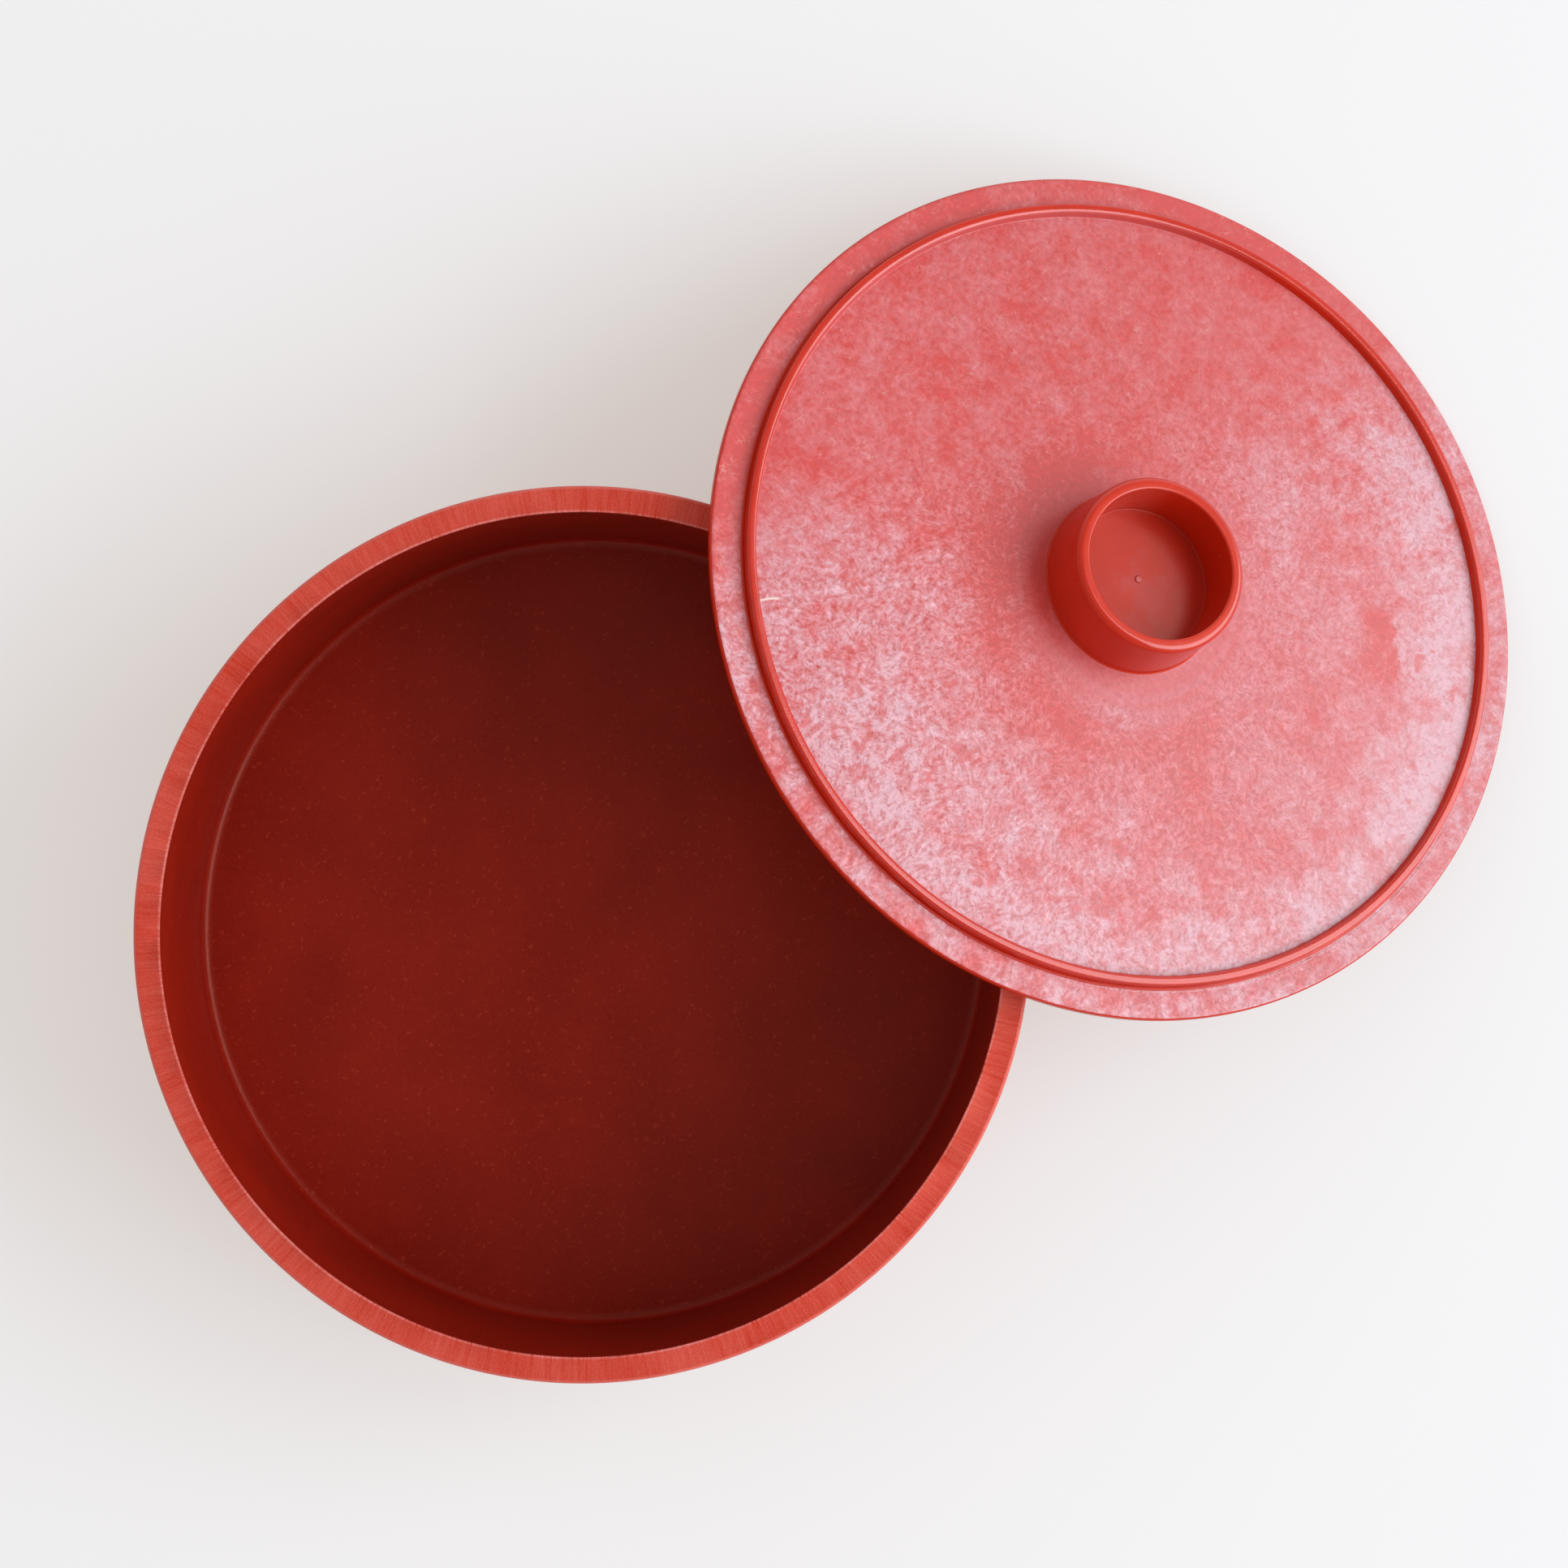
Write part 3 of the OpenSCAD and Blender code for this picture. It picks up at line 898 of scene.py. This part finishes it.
def specklePatterns(paint, look, place, flat):
    # the noises of the speckle, and masks for the sides of the lid on which it differs
    patterns = {"r": paint.length(flat)}
    for name, kind in look["fibres"].items():
        patterns[name] = paint.fibres(place, **kind)
    for name, kind in look["noises"].items():
        patterns[name] = paint.drift(place, **kind)
    upper, lower = (paint.ease(patterns["flakes"], *edges) for edges in look["crispEdges"])
    patterns["crisp"] = upper + look["crispLow"] * lower - look["crispLow"]
    for name, (azimuth, low, high, ragged) in look["sides"].items():
        border = {"along": paint.towards(flat, azimuth), **patterns}
        patterns[name] = paint.ease(paint.stack({"along": 1, **ragged}, border), low, high)
    patterns["half"] = 1 - patterns["plain"]
    knobFoot, beadIn, late = lidForm["knobFoot"], lidForm["beadIn"], patterns["late"]
    edge = paint.stack(look["ragged"], patterns)
    patterns["rough"] = paint.ease(edge, knobFoot + look["roughFrom"], knobFoot + look["roughTo"])
    frostSpan = knobFoot + look["frostFrom"], beadIn - look["frostEarly"] * late
    patterns["nearBeadFrostAndSheen"] = patterns["half"] * paint.ease(edge - look["frostLate"] * late, *frostSpan)
    return patterns


def speckleFrostAndSheen(paint, look, patterns, flat):
    # how frosted the red is, before the single marks; on the window's half it is partly a painted
    # sheen, and near the knob it carries a painted shade
    r, way = patterns["r"], paint.vector("NORMALIZE", flat)
    clouds, patches, rough = patterns["clouds"], patterns["patches"], patterns["rough"]

    def fan(azimuth, low, high):
        return paint.ease(paint.towards(flat, azimuth) / r, low, high)

    out = paint.combined(z=r / look["raysOut"])
    rays = paint.vector("ADD", paint.scaled(way, look["raysAround"]), out)
    frostAndSheen = paint.stack(look["frostAndSheen"], patterns)
    frostAndSheen = frostAndSheen + paint.stack(look["cloudFrostAndSheen"], patterns) * clouds * rough
    patchy = paint.stack(look["patchFrostAndSheen"], patterns) * patches
    frostAndSheen = frostAndSheen + patchy * paint.stack(look["patchRough"], patterns)
    frostAndSheen = frostAndSheen + look["raysShare"] * patterns["nearBeadFrostAndSheen"] * paint.drift(rays, 1.0)
    frostAndSheen = frostAndSheen + look["beltShare"] * patterns["half"] * paint.between(r, *look["belt"])
    frostAndSheen = frostAndSheen + look["rearShare"] * patterns["rear"]
    edgeSide = paint.stack(look["edgeFrostAndSheen"], patterns)
    frostAndSheen = frostAndSheen - edgeSide * paint.ease(r, lidForm["beadIn"], lidForm["beadOut"])

    ripple, knobFoot = look["ripple"], lidForm["knobFoot"]
    near = 1 - paint.ease(r, knobFoot + ripple["from"], knobFoot + ripple["to"])
    spread = paint.combined(x=r / ripple["width"])
    flow = paint.vector("ADD", spread, paint.scaled(way, ripple["around"]))
    flow = ripple["share"] * paint.drift(flow, 1.0, detail=1.0) - ripple["drop"]
    # painted shade: less frost on the side where the knob's shadow falls
    frostAndSheen = frostAndSheen + near * (flow - ripple["shade"] * fan(ripple["toward"], *ripple["fan"]))
    for amount, inner, outer, soft, azimuth, low, high in look["rings"]:
        frostAndSheen = frostAndSheen + amount * paint.between(r, inner, outer, soft) * fan(azimuth, low, high)

    blot = look["blot"]
    spot = paint.vector("SUBTRACT", flat, blot["middle"])
    beyond = {"beyond": paint.reach(spot, blot["outwards"]), **patterns}
    beyond = paint.stack(blot["raggedOut"], beyond)
    beside = {"beside": paint.reach(spot, blot["sideways"]), **patterns}
    beside = paint.between(paint.stack(blot["raggedSide"], beside), *blot["width"])
    for amount, start, end in blot["bands"]:
        band = amount * beside * paint.ease(beyond, *start)
        frostAndSheen = frostAndSheen + band * (1 - paint.ease(beyond, *end))
    return frostAndSheen


def speckleMarks(paint, look, patterns):
    # flakes and short fibres, stronger where the frost and the painted sheen are
    bold = paint.stack(look["boldMarks"], patterns) * paint.stack(look["boldHalf"], patterns)
    fine = paint.stack(look["fineMarks"], patterns) * paint.stack(look["fineHalf"], patterns)
    marks = bold + fine
    for share in ("marksRough", "marksFrostAndSheen", "marksCalm"):
        marks = marks * paint.stack(look[share], patterns)
    return marks


def speckleShades(paint, look, patterns):
    # lighter and darker fibres, and a painted lightening of the side turned away from the window
    fine = paint.stack(look["shades"], patterns) * paint.stack(look["fineHalf"], patterns)
    shades = look["shadeMottle"] * patterns["mottle"] + fine
    shades = shades + look["shadeFlakes"] * patterns["flakes"] * patterns["half"]
    for share in ("marksCalm", "shadeRough"):
        shades = shades * paint.stack(look[share], patterns)
    return shades + look["paintedLightShare"] * patterns["lit"]


def scuffMask(paint, scuff, flat):
    spot = paint.vector("SUBTRACT", flat, scuff["middle"])
    lengthways = paint.reach(spot, scuff["lengthways"])
    half, wide = scuff["half"], scuff["halfWidth"]
    arch = scuff["arch"] * (1 - lengthways * lengthways / half**2)
    across = paint.reach(spot, scuff["across"]) - arch
    ends = paint.between(lengthways, -half, half, scuff["ends"])
    return ends * paint.between(across, -wide, wide, scuff["soft"])


def specklePaint(look):
    # the textured dome and flat edge: frosted flakes and short fibres over red
    paint = Paint(bpy.data.materials.new("lidSpeckle"))
    place = paint.place()
    flat = paint.flat(place)
    patterns = specklePatterns(paint, look, place, flat)
    rough = patterns["rough"]
    patterns["frostAndSheen"] = speckleFrostAndSheen(paint, look, patterns, flat)
    patterns["marks"] = speckleMarks(paint, look, patterns)
    colour = paint.blend(patterns["frostAndSheen"] + patterns["marks"], look["red"], look["pale"])

    blobs = paint.specks(place, **look["blobs"]) * rough
    colour = paint.blend(blobs * paint.stack(look["blobShare"], patterns), colour, look["blob"])
    hairs = paint.hairs(place, **look["hairs"]) * paint.specks(place, **look["hairPatches"])
    colour = paint.blend(hairs * rough * look["hairShare"], colour, look["hair"])
    pits = paint.specks(place, **look["pits"])
    colour = paint.blend(pits * rough * look["pitShare"], colour, look["pit"])

    witness = look["witness"]
    radius, half, soft = witness["radius"], witness["half"], witness["soft"]
    ring = paint.length(paint.vector("SUBTRACT", flat, witness["middle"]))
    fan = paint.towards(flat, witness["toward"]) / patterns["r"]
    shown = paint.between(fan, *witness["fan"])
    patterns["witness"] = paint.between(ring, radius - half, radius + half, soft) * shown
    inside = paint.between(ring, witness["insideFrom"], radius, soft) * shown
    light = 1 - inside * witness["insideShade"] + speckleShades(paint, look, patterns)
    colour = paint.tint(colour, light)
    line = patterns["witness"] * paint.specks(place, **witness["dashes"]) * witness["share"]
    colour = paint.blend(line, colour, witness["colour"])
    grooveFrom, grooveTo = (radius - inset for inset in witness["groove"])
    groove = paint.between(ring, grooveFrom, grooveTo, soft) * shown
    colour = paint.tint(colour, 1 - witness["grooveShade"] * groove)

    scuff = scuffMask(paint, look["scuff"], flat) * look["scuff"]["share"]
    colour = paint.blend(scuff, colour, look["scuff"]["colour"])
    roughness = paint.stack(look["roughness"], patterns)
    relief = paint.stack(look["relief"], patterns)
    return paint.finish(look["gloss"], colour, roughness, relief, look["depth"])


def smoothPaint(name, look, gloss):
    # the plain plastic of bead, knob, edge and underside
    paint = Paint(bpy.data.materials.new(name))
    place = paint.place()
    flat = paint.flat(place)
    r, z = paint.length(flat), paint.height(place)
    patterns = {key: paint.drift(place, **kind) for key, kind in look["noises"].items()}
    flecks = paint.specks(place, **look["flecks"])
    colour = paint.blend(flecks * look["fleckShare"], look["body"], look["fleck"])

    # a pale, smeared bloom in the cup's floor beside the gate's raised mark, a faint painted
    # sheen over the floor, and a painted highlight on the mark
    cupFloor, cupRadius = lidForm["cupFloor"], lidForm["cupRadius"]
    reach = look["cupReach"]
    inCup = paint.between(z, cupFloor - reach, cupFloor + reach, look["cupSoft"])
    inCup = inCup * (1 - paint.ease(r, cupRadius - look["cupInset"], cupRadius))
    smear = paint.length(paint.vector("SUBTRACT", flat, look["smearMiddle"]))
    smear = smear + look["smearRagged"] * paint.drift(place, **look["smearNoise"])
    smear = 1 - paint.ease(smear, look["smearFrom"], look["smearTo"])
    smear = paint.stack(look["smearShare"], {"smear": smear})
    colour = paint.blend(inCup * smear, colour, look["bloomAndPaintedLight"])
    gate, soft = lid["shape"]["gateRadius"], look["nubSoft"]
    nubHighlight = 1 - paint.ease(r, gate - soft, gate + soft)
    colour = paint.blend(nubHighlight * inCup * look["nubHighlightShare"], colour, look["nubHighlight"])

    # painted sheen: the bead's inner side is paler at the high edge, where it faces the window,
    # and painted light makes the low step at its outer foot paler in the bead's shadow
    paintedFlankSheen = paint.ease(paint.reach(flat, look["flankToward"]), *look["flankSpan"])
    flankEnds = (lidForm["beadIn"] + width for width in look["flankWidth"])
    paintedFlankSheen = paintedFlankSheen * (1 - paint.ease(r, *flankEnds))
    colour = paint.blend(paintedFlankSheen * look["flankSheenShare"], colour, look["bloomAndPaintedLight"])
    stepEnds = (lidForm["beadOut"] + width for width in look["stepBand"])
    step = paint.between(r, *stepEnds, look["stepSoft"]) * paint.ease(z, *look["stepHeight"])
    colour = paint.blend(step * look["stepPaintedLightShare"], colour, look["bloomAndPaintedLight"])
    # darker in the cup, a painted shade, and lighter and darker at random
    colour = paint.tint(colour, paint.stack(look["shade"], {"inCup": inCup, **patterns}))
    roughness = gloss["rough"] + look["roughClouds"] * patterns["clouds"]
    relief = paint.stack(look["relief"], patterns)
    return paint.finish(gloss, colour, roughness, relief, look["depth"])


lidBody = turnedMesh(
    "lidBody",
    lidOutline(lid["shape"], lidForm),
    lid["shape"]["segments"],
    lidStray,
    lidPlace,
    lidZone,
    [
        smoothPaint("lidPlastic", lid["smooth"], lid["gloss"]),
        specklePaint(lid["speckle"]),
        smoothPaint("lidShine", lid["smooth"], lid["shine"]),
    ],
)
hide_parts("lid")
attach(lidBody, "lid")
print("lid made, leaning", round(math.degrees(lidPlace.to_euler().y), 2), "degrees")

# the table's lengths are in metres
table = {
    "size": 6.0,
    "colour": (0.86, 0.86, 0.86, 1),
    # with the glow below, shadows look soft to the camera
    "seenColour": (0.44, 0.50, 0.56, 1),
    "seenGlow": (0.465, 0.405, 0.36, 1),
    "farColour": (0.93, 0.93, 0.93, 1),  # away from the middle
    "fadeFrom": 0.4,
    "fadeTo": 1.2,
}


def tableTop(look):
    half = look["size"] / 2
    corners = [(-half, -half, 0), (half, -half, 0), (half, half, 0), (-half, half, 0)]
    mesh = bpy.data.meshes.new("tableTop")
    mesh.from_pydata(corners, [], [(0, 1, 2, 3)])
    top = bpy.data.objects.new("tableTop", mesh)
    bpy.context.scene.collection.objects.link(top)
    paint = Paint(bpy.data.materials.new("tablePaint"))
    plain = paint.node("ShaderNodeBsdfDiffuse", {}, {"Color": look["colour"]})
    seen = paint.node("ShaderNodeBsdfDiffuse", {}, {"Color": look["seenColour"]})
    glow = paint.node("ShaderNodeEmission", {}, {"Color": look["seenGlow"], "Strength": 1.0})
    seen = paint.node("ShaderNodeAddShader", {}, {0: seen, 1: glow})
    away = paint.length(paint.node("ShaderNodeTexCoord", {}, {}).out("Object"))
    far = paint.node("ShaderNodeEmission", {}, {"Color": look["farColour"], "Strength": 1.0})
    fade = paint.ease(away, look["fadeFrom"], look["fadeTo"])
    seen = paint.node("ShaderNodeMixShader", {}, {0: fade, 1: seen, 2: far})
    both = paint.node("ShaderNodeMixShader", {}, {0: paint.lookingRay(), 1: plain, 2: seen})
    paint.node("ShaderNodeOutputMaterial", {}, {"Surface": both})
    mesh.materials.append(paint.owner)


tableTop(table)

# angles are in degrees, lengths in metres
lights = {
    "window": {
        "azimuth": -35,
        "height": 32,
        "away": 2.8,
        "width": 3.0,
        "tall": 2.2,
        "power": 77,
        "colour": (0.93, 0.98, 1.0),
        "aim": (0.08, 0.0, 0.03),
    },
    "room": {"colour": (1.0, 0.965, 0.94, 1), "strength": 0.62},
    "backdrop": {
        "colour": (0.93, 0.93, 0.93, 1),
        "ceiling": (0.22, 0.21, 0.20, 1),
        "from": 0.15,
        "to": 0.7,
    },
}


def softLight(name, look):
    data = bpy.data.lights.new(name, "AREA")
    data.shape = "RECTANGLE"
    data.size, data.size_y = look["width"], look["tall"]
    data.energy = look["power"]
    data.color = look["colour"]
    lamp = bpy.data.objects.new(name, data)
    bpy.context.scene.collection.objects.link(lamp)
    azimuth, height = math.radians(look["azimuth"]), math.radians(look["height"])
    flat = math.cos(height)
    out = Vector((flat * math.cos(azimuth), flat * math.sin(azimuth), math.sin(height)))
    lamp.location = Vector(look["aim"]) + out * look["away"]
    lamp.rotation_mode = "QUATERNION"
    lamp.rotation_quaternion = out.to_track_quat("Z", "Y")


def roomLight(room, backdrop):
    # the room lights the object, and the camera sees a pale backdrop under a dim ceiling
    world = bpy.data.worlds.new("room")
    bpy.context.scene.world = world
    paint = Paint(world)
    sockets = {"Color": room["colour"], "Strength": room["strength"]}
    lit = paint.node("ShaderNodeBackground", {}, sockets)
    up = paint.height(paint.node("ShaderNodeTexCoord", {}, {}).out("Generated"))
    ceiling = paint.ease(up, backdrop["from"], backdrop["to"])
    shade = paint.blend(ceiling, backdrop["colour"], backdrop["ceiling"])
    seen = paint.node("ShaderNodeBackground", {}, {"Color": shade, "Strength": 1.0})
    both = paint.node("ShaderNodeMixShader", {}, {0: paint.lookingRay(), 1: lit, 2: seen})
    paint.node("ShaderNodeOutputWorld", {}, {"Surface": both})


softLight("windowLight", lights["window"])
roomLight(lights["room"], lights["backdrop"])

cameraView = {
    "spot": (48.77, -12.44, 1023.42),
    "turn": -32.558,  # degrees round Z, then the two small tilts off straight down
    "tipX": 1.2153,
    "tipY": -0.0476,
    "lens": 91.06,
    "sensor": 36.0,
    "near": 0.05,  # metres
    "far": 20.0,
}


def setCamera(view):
    data = bpy.data.cameras.new("camera")
    data.lens = view["lens"]
    data.sensor_width = view["sensor"]
    data.clip_start, data.clip_end = view["near"], view["far"]
    camera = bpy.data.objects.new("camera", data)
    bpy.context.scene.collection.objects.link(camera)
    turns = (("turn", "Z"), ("tipX", "X"), ("tipY", "Y"))
    turn, tipX, tipY = (Matrix.Rotation(math.radians(view[key]), 4, axis) for key, axis in turns)
    spot = Matrix.Translation(Vector(view["spot"]) * mm)
    camera.matrix_world = spot @ turn @ (tipX @ tipY)
    bpy.context.scene.camera = camera


setCamera(cameraView)
bpy.context.scene.view_settings.view_transform = "Standard"
print("table, light and camera set")
